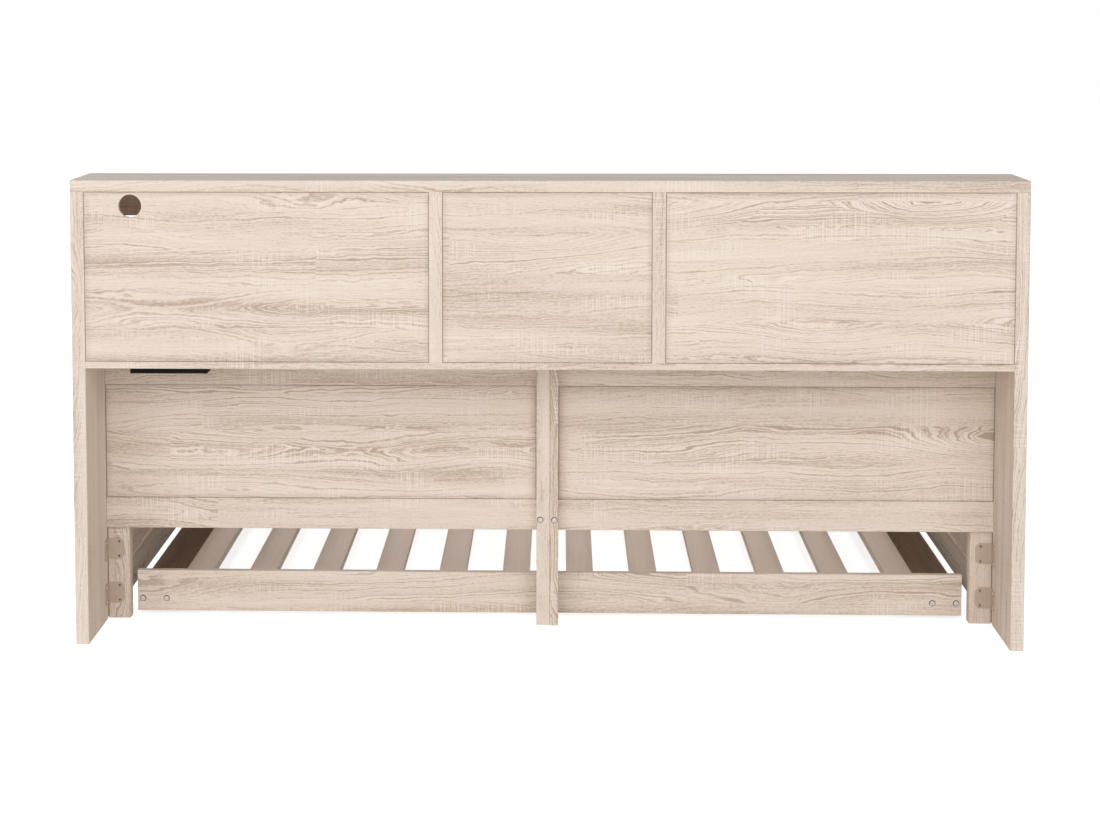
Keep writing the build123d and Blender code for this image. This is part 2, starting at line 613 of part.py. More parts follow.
def wheels():
    """Four wheels, each free to turn on a headed axle held in both webs."""
    spin = Plane(origin=(0, 0, 0), x_dir=(0, 0, 1), z_dir=(0, -1, 0))
    turned = revolve(spin * wheel_profile(), Axis.X)
    axles = []
    for place, depth in WHEEL_DEPTHS.items():
        for side, sign in SIDES.items():
            y = y_at(depth)
            z = WHEEL_D / 2
            parts[f"wheel_{place}_{side}"] = Pos(sign * WHEEL_X, y, z) * turned
            outward = Vector(sign, 0, 0)
            length = TRUNDLE_HALF - INNER_WEB_INNER + AXLE_NUT_T
            start = Vector(sign * (INNER_WEB_INNER - AXLE_NUT_T), y, z)
            face = Plane(origin=start, z_dir=outward)
            nut = extrude(face * RegularPolygon(AXLE_NUT_D / 2, 6, major_radius=False), AXLE_NUT_T)
            head = rod(start + outward * length, outward, AXLE_HEAD_D, AXLE_HEAD_T)
            axles.append(rod(start, outward, AXLE_D, length) + nut + head)
    parts["wheel_axles"] = Compound(axles)


hutch_boards()
power_unit()
daybed_back()
end_frames()
brackets()
bed_base()
trundle_frame()
wheels()

for name, part in parts.items():
    part.label = name
    export_step(part, f"parts/{name}.step")

print(len(parts), "nodes")
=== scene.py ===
import math

import bmesh
import bpy
from mathutils import Matrix, Vector


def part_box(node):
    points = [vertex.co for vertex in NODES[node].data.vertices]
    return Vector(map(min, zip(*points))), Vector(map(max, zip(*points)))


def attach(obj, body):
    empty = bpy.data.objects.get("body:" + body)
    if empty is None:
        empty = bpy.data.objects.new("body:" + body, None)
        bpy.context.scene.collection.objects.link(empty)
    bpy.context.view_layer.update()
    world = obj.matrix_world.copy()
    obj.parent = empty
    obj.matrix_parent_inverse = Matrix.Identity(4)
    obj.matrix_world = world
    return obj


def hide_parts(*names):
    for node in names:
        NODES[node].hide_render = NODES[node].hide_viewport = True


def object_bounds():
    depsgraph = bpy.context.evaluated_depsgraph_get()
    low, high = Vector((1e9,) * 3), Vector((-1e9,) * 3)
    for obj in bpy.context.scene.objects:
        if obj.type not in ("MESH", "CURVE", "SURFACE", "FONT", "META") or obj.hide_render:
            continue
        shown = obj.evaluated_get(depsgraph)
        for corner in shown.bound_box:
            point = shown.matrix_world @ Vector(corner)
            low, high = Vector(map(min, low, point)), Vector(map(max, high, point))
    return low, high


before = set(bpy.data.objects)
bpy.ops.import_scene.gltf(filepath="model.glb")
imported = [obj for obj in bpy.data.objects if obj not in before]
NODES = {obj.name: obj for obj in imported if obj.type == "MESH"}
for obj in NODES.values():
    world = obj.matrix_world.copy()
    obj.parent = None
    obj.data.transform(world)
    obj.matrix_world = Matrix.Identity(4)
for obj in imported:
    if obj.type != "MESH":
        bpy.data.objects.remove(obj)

# The daybed seen from behind, as in the photograph: a bookcase hutch stands along its back,
# and a low trundle bed on wheels is pushed under it. All lengths are in metres.

CAD_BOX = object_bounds()
MM = 0.001

# Colours of the finishes, as sRGB hex
OAK_LIGHT = "EEE0D4"
OAK_MIDDLE = "E3D3C5"
OAK_DARK = "BEA996"
OAK_SAW = "F3E9DF"
# Brown toward which painted shade and a painted shadow line darken the foil along panel joints
SEAM_SHADE_BROWN = "6E5645"
BROWN_FOIL = ("5F4C3E", "7A6453", "8A7361", "9A8472")
SLAT_LIGHT = "EFE1D5"
SLAT_DARK = "EADACC"
BEIGE_COAT = "C3AF9C"
ZINC = "B5B0A8"
WASHER_SHADOW_DARK = "5A544D"
# Near-black of the washers: a painted shadow round each bolt head
BLACK_ABS = "0E0D0B"
SOCKET_ABS = "161513"
NYLON = "2B2A29"
FELT_BROWN = "8F7A69"
CONTACT_WHITE = "D8D6D0"
FLOOR_WHITE = "E8E8E6"
STUDIO_WHITE = "FFFFFF"

# How little a matt surface mirrors, as the shader's specular level
MATT = {"Specular IOR Level": 0.12}


def linear(code):
    """Linear RGBA of an sRGB hex colour."""
    channels = [int(code[i:i + 2], 16) / 255 for i in (0, 2, 4)]
    return [c / 12.92 if c <= 0.04045 else ((c + 0.055) / 1.055) ** 2.4 for c in channels] + [1.0]


def add(tree, kind, inputs=None, **settings):
    """Adds a node, sets its properties, and fills or links its input sockets."""
    made = tree.nodes.new(kind)
    for name, value in settings.items():
        setattr(made, name, value)
    for key, value in (inputs or {}).items():
        if isinstance(value, bpy.types.NodeSocket):
            tree.links.new(value, made.inputs[key])
        else:
            made.inputs[key].default_value = value
    return made


def math_node(tree, operation, *values):
    """Result socket of one Math node."""
    return add(tree, "ShaderNodeMath", dict(enumerate(values)), operation=operation).outputs[0]


def new_material(name, **shader_inputs):
    """An empty node material with a Principled shader; returns material, tree and shader."""
    material = bpy.data.materials.new(name)
    material.use_nodes = True
    tree = material.node_tree
    tree.nodes.clear()
    shader = add(tree, "ShaderNodeBsdfPrincipled", shader_inputs)
    add(tree, "ShaderNodeOutputMaterial", {"Surface": shader.outputs[0]})
    return material, tree, shader


def ramp(tree, factor, stops):
    """Colour ramp through (place, hex) stops."""
    made = add(tree, "ShaderNodeValToRGB", {"Fac": factor})
    band = made.color_ramp
    while len(band.elements) < len(stops):
        band.elements.new(0.5)
    for element, (place, code) in zip(band.elements, stops):
        element.position = place
        element.color = linear(code)
    return made.outputs["Color"]


def mixed(tree, factor, colour, code):
    """A colour mixed with a hex colour by a factor."""
    return add(
        tree, "ShaderNodeMix", {"Factor": factor, 6: colour, 7: linear(code)}, data_type="RGBA"
    ).outputs[2]


def stretched(tree, place, cells):
    """A place scaled to so many noise cells per metre on each axis."""
    return add(tree, "ShaderNodeMapping", {0: place, "Scale": cells}).outputs[0]


def cloud_noise(tree, place, detail, scale=1.0):
    """Noise in space."""
    return add(
        tree, "ShaderNodeTexNoise", {"Vector": place, "Scale": scale, "Detail": detail}
    ).outputs["Fac"]


def line_noise(tree, place, detail):
    """Noise along one line, such as rings or saw marks."""
    return add(
        tree, "ShaderNodeTexNoise", {"W": place, "Scale": 1.0, "Detail": detail},
        noise_dimensions="1D",
    ).outputs["Fac"]


def add_bump(tree, shader, height, strength, depth):
    """Joins a bump of a given depth, in metres, to a shader."""
    bump = add(tree, "ShaderNodeBump", {"Height": height, "Strength": strength, "Distance": depth})
    tree.links.new(bump.outputs[0], shader.inputs["Normal"])


# Wood grain foil: printed strips, each cut from another plank. The threads are 1.5 mm apart on
# the real foil and 3 mm here, because finer ones would not show.
STRIP = 88 * MM
PLANK = 1.35
RING = 3.4 * MM
RING_SLOPE = 0.012
HEART = 6 * MM
THREAD_WIDTH = 3.0 * MM
THREAD_LENGTH = 42 * MM
FLECK_WIDTH = 2.2 * MM
FLECK_LENGTH = 9 * MM
SAW_PITCH = 4.6 * MM
# Widths of the painted shade along a panel's joints and of the painted shadow line at the seam
SEAM_SHADE_WIDTH = 16 * MM
SEAM_SHADOW_WIDTH = 2.2 * MM
FOIL_BUMP = 0.4 * MM
# Noise cells per metre along the grain, per metre across it, and from strip to strip
HEART_CELLS = (1.4, 2.0, 3.0)
WAVE_CELLS = (4.5, 17.0, 3.0)
RIPPLE_CELLS = (24.0, 70.0, 3.0)
KNOT_CELLS = (1.9, 8.5, 7.0)
SAW_CELLS = (5.0, 17.0, 1.0)
FIGURE_CELLS = (2.2, 9.0, 2.0)
TONE_CELLS = (1.2, 22.0, 3.0)
# How far each of them moves the rings, in metres
HEART_SWAY = 0.10
WAVE_SWAY = 0.030
RIPPLE_SWAY = 0.008
KNOT_SWAY = 0.07
# How much each layer changes the tone, from 0 for dark to 1 for light
TONE_SWING = 0.7
TONE_BASE = 0.16
FIBRE_TONE = 0.34
FLECK_TONE = 0.42
PLANK_TONE = 0.08
THREAD_PALE = 0.55
SAW_PALE = 0.42
# How far the painted shade and the painted shadow line mix the foil toward brown
SEAM_SHADE_DEPTH = 0.16
SEAM_SHADOW_DEPTH = 0.7


def oak_foil(name, grain, seed, colours=None, panel=None, figure=1.0, shade=0.0):
    """Washed oak paper foil on board, matt: strips of cathedral grain, threads and saw marks.

    A panel is (axes, low, high): painted shade darkens the foil along the joints around it, with a
    painted shadow line at the seam. The figure is how strong the rings show, and the shade makes
    the whole board lighter or darker.
    """
    dark, middle, light, pale = colours or (OAK_DARK, OAK_MIDDLE, OAK_LIGHT, OAK_SAW)
    material, tree, shader = new_material(name, Roughness=0.6, IOR=1.5, **MATT)
    place = add(tree, "ShaderNodeTexCoord").outputs["Object"]
    axes = add(tree, "ShaderNodeSeparateXYZ", {0: place}).outputs
    along = axes["XYZ".index(grain)]
    others = [axes[i] for i in range(3) if "XYZ"[i] != grain]
    across = math_node(tree, "ADD", others[0], others[1])
    across = math_node(tree, "ADD", across, 10 + seed * 0.37)
    # Which strip and which plank of it a point lies in
    counted = math_node(tree, "DIVIDE", across, STRIP)
    number = math_node(tree, "FLOOR", counted)
    within = math_node(tree, "MULTIPLY", math_node(tree, "FRACT", counted), STRIP)
    strip_dice = add(tree, "ShaderNodeTexWhiteNoise", {"W": number}, noise_dimensions="1D")
    shifted = math_node(tree, "MULTIPLY_ADD", strip_dice.outputs["Value"], 3 * PLANK, along)
    plank = math_node(tree, "FLOOR", math_node(tree, "DIVIDE", shifted, PLANK))
    pair = add(tree, "ShaderNodeCombineXYZ", {0: number, 1: plank, 2: seed})
    dice = add(tree, "ShaderNodeTexWhiteNoise", {"Vector": pair.outputs[0]}, noise_dimensions="3D")
    dice = add(tree, "ShaderNodeSeparateColor", {0: dice.outputs["Color"]}).outputs
    far = math_node(tree, "MULTIPLY_ADD", dice[1], 40.0, along)
    spot = add(tree, "ShaderNodeCombineXYZ", {0: far, 1: across, 2: number}).outputs[0]
    whole = add(tree, "ShaderNodeCombineXYZ", {0: along, 1: across, 2: seed}).outputs[0]

    def noise(cells, detail, where=spot):
        return cloud_noise(tree, stretched(tree, where, cells), detail)

    def band(value, low, high, to_low=0.0, to_high=1.0):
        made = add(
            tree,
            "ShaderNodeMapRange",
            {0: value, 1: low, 2: high, 3: to_low, 4: to_high},
            interpolation_type="SMOOTHSTEP",
        )
        return made.outputs[0]

    # Rings: distance from the heart of the plank, which wanders along its length
    offset = math_node(tree, "MULTIPLY_ADD", dice[0], 1.8 * STRIP, -1.4 * STRIP)
    centre = math_node(tree, "ADD", within, offset)
    centre = math_node(tree, "MULTIPLY_ADD", noise(HEART_CELLS, 1.0), HEART_SWAY, centre)
    heart = math_node(tree, "SQRT", math_node(tree, "MULTIPLY_ADD", centre, centre, HEART**2))
    drift = math_node(tree, "MULTIPLY_ADD", far, RING_SLOPE, heart)
    drift = math_node(tree, "MULTIPLY_ADD", noise(WAVE_CELLS, 3.0), WAVE_SWAY, drift)
    drift = math_node(tree, "MULTIPLY_ADD", noise(RIPPLE_CELLS, 2.0), RIPPLE_SWAY, drift)
    # Knots, round which the rings bend: more of them, and more strongly, in some strips
    cells = stretched(tree, spot, KNOT_CELLS)
    knot = add(tree, "ShaderNodeTexVoronoi", {"Vector": cells, "Scale": 1.0}).outputs
    chance = add(tree, "ShaderNodeSeparateColor", {0: knot["Color"]}).outputs[0]
    bend = math_node(tree, "MULTIPLY", band(knot["Distance"], 0.0, 0.6, 1.0, 0.0), chance)
    row = strip_dice.outputs["Value"]
    bend = math_node(tree, "MULTIPLY", bend, math_node(tree, "MULTIPLY_ADD", row, 1.4, 0.1))
    drift = math_node(tree, "MULTIPLY_ADD", bend, KNOT_SWAY, drift)
    rings = line_noise(tree, math_node(tree, "DIVIDE", drift, RING), 1.5)
    # Pale threads follow the rings; fibres and short flecks lie along the grain
    threads = math_node(tree, "ABSOLUTE", math_node(tree, "SUBTRACT", rings, 0.54))
    threads = band(threads, 0.0, 0.05, 1.0, 0.0)
    fibres = noise((1 / THREAD_LENGTH, 1 / THREAD_WIDTH, 1.0), 2.0)
    flecks = noise((1 / FLECK_LENGTH, 1 / FLECK_WIDTH, 1.0), 1.0)
    # Saw marks: pale cross lines in patches
    patch = band(noise(SAW_CELLS, 1.0), 0.53, 0.66)
    marks = line_noise(tree, math_node(tree, "DIVIDE", along, SAW_PITCH), 0.0)
    saw = math_node(tree, "MULTIPLY", band(marks, 0.45, 0.62), patch)
    # Tone: slow bands, rings where the grain is strong, fibres, flecks and the plank's own tone
    strength = band(noise(FIGURE_CELLS, 1.0), 0.36, 0.62, 0.35 * figure, 0.95 * figure)
    by_row = math_node(tree, "MULTIPLY_ADD", row, 0.9, 0.5)
    strength = math_node(tree, "MULTIPLY", strength, by_row)
    strength = math_node(tree, "MULTIPLY_ADD", bend, 0.6 * figure, strength)
    deviation = math_node(tree, "SUBTRACT", rings, 0.5)
    bands = noise(TONE_CELLS, 2.0, whole)
    tone = math_node(tree, "MULTIPLY_ADD", bands, TONE_SWING, TONE_BASE + shade)
    tone = math_node(tree, "ADD", math_node(tree, "MULTIPLY", deviation, strength), tone)
    for layer, amount in ((fibres, FIBRE_TONE), (flecks, FLECK_TONE), (dice[2], PLANK_TONE)):
        layer = math_node(tree, "SUBTRACT", layer, 0.5)
        tone = math_node(tree, "MULTIPLY_ADD", layer, amount, tone)
    colour = ramp(tree, tone, [(0.26, dark), (0.50, middle), (0.74, light)])
    paler = math_node(tree, "MULTIPLY", threads, strength)
    paler = math_node(tree, "MULTIPLY", paler, THREAD_PALE)
    paler = math_node(tree, "MULTIPLY_ADD", saw, SAW_PALE, paler)
    colour = mixed(tree, paler, colour, pale)
    # Painted shade: the foil darkens toward brown in a band along the panel's joints, and a
    # painted shadow line darkens it more at the seam
    if panel:
        nearest = 1.0
        for axis, low, high in zip(*panel):
            from_low = math_node(tree, "SUBTRACT", axes[axis], low)
            from_high = math_node(tree, "SUBTRACT", high, axes[axis])
            side = math_node(tree, "MINIMUM", from_low, from_high)
            nearest = math_node(tree, "MINIMUM", nearest, side)
        seam_shade = band(nearest, 0.0, SEAM_SHADE_WIDTH, SEAM_SHADE_DEPTH, 0.0)
        line = band(nearest, SEAM_SHADOW_WIDTH * 0.6, SEAM_SHADOW_WIDTH, SEAM_SHADOW_DEPTH, 0.0)
        colour = mixed(tree, math_node(tree, "MAXIMUM", seam_shade, line), colour, SEAM_SHADE_BROWN)
    tree.links.new(colour, shader.inputs["Base Color"])
    height = math_node(tree, "ADD", math_node(tree, "MULTIPLY", paler, 0.5), fibres)
    add_bump(tree, shader, height, 0.2, FOIL_BUMP)
    return material


# Grain of the slats: noise cells per metre across, along and down through the slat
SLAT_CELLS = (230.0, 4.0, 230.0)
SLAT_BUMP = 0.3 * MM
ROUGHNESS_SWING = 0.06


def sawn_slat():
    """Planed softwood slat, uncoated: plain pale tan with a faint straight grain along it."""
    material, tree, shader = new_material("planed_softwood", Roughness=0.7, IOR=1.5)
    place = add(tree, "ShaderNodeTexCoord").outputs["Object"]
    grain = cloud_noise(tree, stretched(tree, place, SLAT_CELLS), 3.0)
    colour = ramp(tree, grain, [(0.3, SLAT_DARK), (0.7, SLAT_LIGHT)])
    tree.links.new(colour, shader.inputs["Base Color"])
    add_bump(tree, shader, grain, 0.2, SLAT_BUMP)
    return material


def grained(name, code, roughness, grain_mm, depth_mm, **shader_inputs):
    """A surface of one colour with a fine even texture, such as moulded plastic or a coat."""
    material, tree, shader = new_material(name, Roughness=roughness, **shader_inputs)
    shader.inputs["Base Color"].default_value = linear(code)
    place = add(tree, "ShaderNodeTexCoord").outputs["Object"]
    grain = cloud_noise(tree, place, 2.0, 1 / (grain_mm * MM))
    smooth, dull = roughness - ROUGHNESS_SWING, roughness + ROUGHNESS_SWING
    rough = add(tree, "ShaderNodeMapRange", {0: grain, 1: 0.3, 2: 0.7, 3: smooth, 4: dull})
    tree.links.new(rough.outputs[0], shader.inputs["Roughness"])
    add_bump(tree, shader, grain, 0.3, depth_mm * MM)
    return material


def dress(node, material):
    """Gives a CAD node one material all over."""
    NODES[node].data.materials.clear()
    NODES[node].data.materials.append(material)


# Grain runs along each board, and each board is cut from another part of the foil
GRAIN = {
    "hutch_top_": "X", "hutch_shelf_": "X", "hutch_back_": "X", "hutch_valance_": "X",
    "hutch_side_": "Z", "hutch_divider_": "Z", "centre_leg_": "Z", "rear_leg_": "Z",
    "front_leg_": "Z", "back_": "X", "front_rail": "X", "trundle_rear_rail": "X",
    "trundle_front_panel": "X", "end_": "Y",
}
BOLT_NODES = ("centre_leg_bolts", "front_rail_bolts")

# Figure and shade of the boards that look calmer, lighter or darker than the rest
BOARD_LOOK = {
    "centre_leg_wide": (0.4, 0.05), "centre_leg_narrow": (1.0, -0.08),
    "hutch_divider_left": (0.6, 0.0), "hutch_divider_right": (0.5, 0.04),
    "hutch_side_right": (0.6, 0.06), "hutch_side_left": (0.8, 0.0), "hutch_top": (0.7, 0.02),
    "trundle_rear_rail": (0.8, -0.05),
}


def panel_opening(node):
    """The part of a panel that its frame leaves open, as (axes, low, high)."""
    low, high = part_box(node)
    if node.startswith("back_panel_"):
        low.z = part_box("back_bottom_rail_left")[1].z
        high.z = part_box("back_top_rail_left")[0].z
        wide_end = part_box("centre_leg_wide_strip")[1].x
        narrow_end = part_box("centre_leg_narrow_strip")[0].x
        # The panel on the +X side starts near the middle, or a little past it
        low.x, high.x = (wide_end, high.x) if low.x > -0.1 else (low.x, narrow_end)
    elif not node.startswith("hutch_back_"):
        return None
    return (0, 2), (low.x, low.z), (high.x, high.z)


def dress_boards():
    """Oak foil on every board that shows it, with the grain along the board."""
    for count, node in enumerate(sorted(NODES)):
        if node in BOLT_NODES:
            continue
        grain = next((axis for start, axis in GRAIN.items() if node.startswith(start)), None)
        if grain:
            figure, shade = next(
                (look for start, look in BOARD_LOOK.items() if node.startswith(start)), (1.0, 0.0)
            )
            # The panel opening gives the edges along which painted shade darkens the foil
            foil = oak_foil(
                f"oak_foil_{node}", grain, count, panel=panel_opening(node), figure=figure,
                shade=shade,
            )
            dress(node, foil)


def dress_rest():
    """Slats, side boards, brackets, bolts, wheels and the power unit."""
    slat = sawn_slat()
    for node in (
        "bed_slats", "trundle_slats", "front_slat_cleat", "rear_slat_cleat",
        "trundle_rear_cleat", "trundle_front_cleat", "hutch_dowels",
    ):
        dress(node, slat)
    for side in ("left", "right"):
        board = oak_foil(f"brown_foil_{side}", "Y", len(side), BROWN_FOIL)
        dress(f"trundle_side_board_{side}", board)
        dress(f"trundle_webs_{side}", board)
    # Beige powder coat on the brackets: half matt, with a fine orange peel
    dress("corner_brackets", grained("beige_powder_coat", BEIGE_COAT, 0.5, 0.8, 0.05))
    # Zinc-plated steel of screws, bolts and axles: bright grey and half gloss
    zinc = grained("zinc_plated_steel", ZINC, 0.38, 0.6, 0.02, Metallic=1.0)
    # Black ABS of the power unit's tub and plate: textured and almost without a highlight
    tub = grained("black_abs", BLACK_ABS, 0.6, 0.7, 0.03, IOR=1.5, **MATT)
    # The sockets' black ABS: smoother, with a soft highlight
    socket = grained("socket_abs", SOCKET_ABS, 0.35, 0.7, 0.02, IOR=1.5)
    for node, finish in (
        ("power_housing", tub), ("power_faceplate", tub), ("power_outlets", socket),
        ("usb_module", socket), ("wheel_axles", zinc),
    ):
        dress(node, finish)
    bracket_screws(zinc)
    # Brown felt: quite dull, with a coarse nap
    felt_strips(grained("brown_felt", FELT_BROWN, 0.9, 0.6, 0.2, IOR=1.5))
    slat_screws("bed_slats", "daybed", BED_SLATS, zinc)
    slat_screws("trundle_slats", "trundle", TRUNDLE_SLATS, zinc)
    bolt_heads("centre_leg_bolts", "daybed", (0, 1, 0), zinc)
    bolt_heads("trundle_bolts", "trundle", (0, 1, 0), zinc)
    bolt_heads("front_rail_bolts", "daybed", (0, -1, 0), zinc)
    # Steel of the washers, coloured near black as a painted shadow: the dark rim round a bolt head
    washer_shadow = grained("washer_painted_shadow", WASHER_SHADOW_DARK, 0.5, 0.6, 0.02, Metallic=1.0)
    washers("centre_leg_bolts", "daybed", washer_shadow)
    washers("trundle_bolts", "trundle", washer_shadow)
    # Moulded nylon of the wheels: near black and half matt
    nylon = grained("moulded_nylon", NYLON, 0.5, 0.9, 0.03, IOR=1.53)
    for node in sorted(NODES):
        if node.startswith("wheel_") and node != "wheel_axles":
            trundle_wheel(node, nylon)
    # Pale plastic of the contact tongues: the light spot in each charging port
    usb_tongues(grained("contact_plastic", CONTACT_WHITE, 0.4, 0.5, 0.02, IOR=1.5))


# Fasteners, wheels and the charging module's contacts
SCREW_HEAD_R = 3.4 * MM
SCREW_HEAD_H = 1.8 * MM
RECESS_L = 3.8 * MM
RECESS_W = 1.0 * MM
SCREW_SEGMENTS = 16
BED_SLATS = 13
TRUNDLE_SLATS = 12
SLAT_W = 64 * MM
SLAT_SCREW_R = 4.0 * MM
SLAT_SCREW_H = 0.6 * MM
SLAT_SCREW_SINK = 0.3 * MM
SLAT_SCREW_IN = 12 * MM
SLAT_SCREW_APART = 36 * MM
BOLT_HEAD_R = 6.0 * MM
BOLT_HEAD_H = 3.0 * MM
BOLT_SHANK_R = 3.0 * MM
BOLT_SEGMENTS = 24
SHANK_SEGMENTS = 12
HEX_R = 2.4 * MM
# Shares of a head's height or radius
WELL_DEPTH = 0.8
WELL_TAPER = 0.75
SCREW_RIM = 0.72
HEX_DISH = 0.85
HEX_RIM = 0.7
HEAD_ROLL = 0.7
WELD = 1e-6


def finish_piece(bm, name, body, material, nodes=()):
    """Makes an object of a bmesh, gives it its finish and lets it ride on its body."""
    bmesh.ops.remove_doubles(bm, verts=bm.verts, dist=WELD)
    bmesh.ops.recalc_face_normals(bm, faces=bm.faces)
    mesh = bpy.data.meshes.new(name)
    bm.to_mesh(mesh)
    bm.free()
    mesh.materials.append(material)
    piece = bpy.data.objects.new(name, mesh)
    bpy.context.scene.collection.objects.link(piece)
    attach(piece, body)
    if nodes:
        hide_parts(*nodes)
    return piece


def turned(bm, profile, segments):
    """Spins a profile of (radius, height) points about Z, in its own bmesh, and adds it."""
    shape = bmesh.new()
    ring = [shape.verts.new((radius, 0, height)) for radius, height in profile]
    edges = [shape.edges.new(pair) for pair in zip(ring, ring[1:])]
    bmesh.ops.spin(
        shape, geom=ring + edges, cent=(0, 0, 0), axis=(0, 0, 1), angle=math.tau,
        steps=segments, use_merge=True,
    )
    bmesh.ops.remove_doubles(shape, verts=shape.verts, dist=WELD)
    join(bm, shape)


def join(bm, shape, matrix=None):
    """Adds one bmesh to another, moved by a matrix."""
    if matrix is not None:
        bmesh.ops.transform(shape, matrix=matrix, verts=shape.verts)
    spare = bpy.data.meshes.new("spare")
    shape.to_mesh(spare)
    shape.free()
    bm.from_mesh(spare)
    bpy.data.meshes.remove(spare)


def block(bm, size, middle, angle=0.0):
    """A block of a given size, turned about Z, added to a bmesh."""
    matrix = Matrix.Rotation(angle, 4, "Z") @ Matrix.Translation(middle)
    made = bmesh.ops.create_cube(bm, size=1.0)["verts"]
    bmesh.ops.scale(bm, vec=size, verts=made)
    bmesh.ops.transform(bm, matrix=matrix, verts=made)
    return made


def sunk(bm, shape_points, depth):
    """A recess cut in the head's flat top: a narrower well with sloping walls."""
    well = [bm.verts.new(point) for point in shape_points]
    face = bm.faces.new(well)
    made = bmesh.ops.extrude_face_region(bm, geom=[face])["geom"]
    low = [item for item in made if isinstance(item, bmesh.types.BMVert)]
    bmesh.ops.translate(bm, vec=(0, 0, -depth), verts=low)
    bmesh.ops.scale(bm, vec=(WELL_TAPER, WELL_TAPER, 1.0), verts=low)
    bmesh.ops.delete(bm, geom=[face], context="FACES_ONLY")
    return well


def cross_head(radius, height):
    """A screw head with a domed rim, standing on z = 0, and a cross recess.

    Known fault: the flat ring between the recess and the rim stays open. Mesh coordinates are
    32-bit, so the exact comparison below finds no inner edge to bridge. A tolerance, as in
    hex_head, would close it.
    """
    bm = bmesh.new()
    wide, narrow = RECESS_L / 2, RECESS_W / 2
    turn = Matrix.Rotation(math.pi / 2, 4, "Z")
    points = []
    corner = [Vector((wide, -narrow, height)), Vector((wide, narrow, height))]
    for _ in range(4):
        points += [point.copy() for point in corner] + [turn @ Vector((narrow, -narrow, height))]
        corner = [turn @ point for point in corner]
    well = sunk(bm, points, height * WELL_DEPTH)
    inside = radius * SCREW_RIM
    rim = bmesh.ops.create_circle(bm, segments=SCREW_SEGMENTS, radius=inside)["verts"]
    bmesh.ops.translate(bm, vec=(0, 0, height), verts=rim)
    ring = {edge for vert in rim for edge in vert.link_edges}
    inner = {
        edge for vert in well for edge in vert.link_edges
        if all(end.co.z == height for end in edge.verts)
    }
    bmesh.ops.bridge_loops(bm, edges=list(ring | inner))
    profile = [(inside, height), (radius * 0.93, height * 0.72), (radius, 0.0)]
    turned(bm, profile, SCREW_SEGMENTS)
    return bm


def hex_head(radius, height):
    """A bolt head with a bevelled rim and a dished top with a hexagon socket."""
    bm = bmesh.new()
    dish = height * HEX_DISH
    turns = [math.tau * number / 6 for number in range(6)]
    hexagon = [(HEX_R * math.cos(turn), HEX_R * math.sin(turn), dish) for turn in turns]
    well = sunk(bm, hexagon, height * WELL_DEPTH)
    inside = radius * HEX_RIM
    rim = bmesh.ops.create_circle(bm, segments=BOLT_SEGMENTS, radius=inside)["verts"]
    bmesh.ops.translate(bm, vec=(0, 0, dish), verts=rim)
    ring = {edge for vert in rim for edge in vert.link_edges}
    inner = {
        edge for vert in well for edge in vert.link_edges
        if all(abs(end.co.z - dish) < 1e-9 for end in edge.verts)
    }
    bmesh.ops.bridge_loops(bm, edges=list(ring | inner))
    profile = [(HEX_RIM, HEX_DISH), (0.76, 1.0), (0.9, 1.0), (1.0, 0.7), (1.0, 0.0)]
    turned(bm, [(radius * r, height * h) for r, h in profile], BOLT_SEGMENTS)
    return bm


def copies(head, places):
    """Copies of a head that stand on (point, direction) places, in one bmesh."""
    bm = bmesh.new()
    for count, (point, direction) in enumerate(places):
        turn = Vector(direction).to_track_quat("Z", "Y").to_matrix().to_4x4()
        roll = Matrix.Rotation(count * HEAD_ROLL, 4, "Z")
        join(bm, head.copy(), Matrix.Translation(point) @ turn @ roll)
    head.free()
    return bm


BRACKET_HOLE_IN = 27.5 * MM
BRACKET_HOLE_EDGE = 7.0 * MM
BRACKET_T = 2.0 * MM
BRACKET_H = 48 * MM


def bracket_screws(zinc):
    """Two pan-head screws in each flange of the four angle brackets."""
    low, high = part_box("corner_brackets")
    corner_x, leg_y = high.x, low.y
    places = []
    for sign in (1, -1):
        for bottom in (low.z, high.z - BRACKET_H):
            for z in (bottom + BRACKET_HOLE_EDGE, bottom + BRACKET_H - BRACKET_HOLE_EDGE):
                x = sign * (corner_x - BRACKET_HOLE_IN)
                places.append(((x, leg_y + BRACKET_T, z), (0, 1, 0)))
                x = sign * (corner_x - BRACKET_T)
                places.append(((x, leg_y + BRACKET_HOLE_IN, z), (-sign, 0, 0)))
    bm = copies(cross_head(SCREW_HEAD_R, SCREW_HEAD_H), places)
    finish_piece(bm, "bracket_screws", "daybed", zinc)


FELT_T = 2.6 * MM
FELT_LAP = 0.1 * MM
FELT_ROUND = 0.5 * MM
FELT_FOOT = 4 * MM
FELT_TOP_GAP = 1 * MM


def felt_strips(felt):
    """A strip of brown felt between each rear leg and the front edge of the hutch side."""
    bottom = FELT_FOOT
    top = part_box("back_bottom_rail_left")[0].z - FELT_TOP_GAP
    for side, sign in (("left", -1), ("right", 1)):
        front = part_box(f"rear_leg_{side}")[1].y
        side_low, side_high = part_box(f"hutch_side_{side}")
        inner = side_low.x if sign > 0 else side_high.x
        rear = side_low.y
        bm = bmesh.new()
        size = (FELT_T, abs(rear - front), top - bottom)
        middle = Vector((inner + sign * FELT_LAP, (rear + front) / 2, (top + bottom) / 2))
        block(bm, size, middle)
        upright = [
            edge for edge in bm.edges if abs(edge.verts[0].co.z - edge.verts[1].co.z) > FELT_T
        ]
        bmesh.ops.bevel(
            bm, geom=upright, offset=FELT_ROUND, segments=2, profile=0.5, affect="EDGES",
            material=-1,
        )
        finish_piece(bm, f"leg_felt_strip_{side}", "daybed", felt)


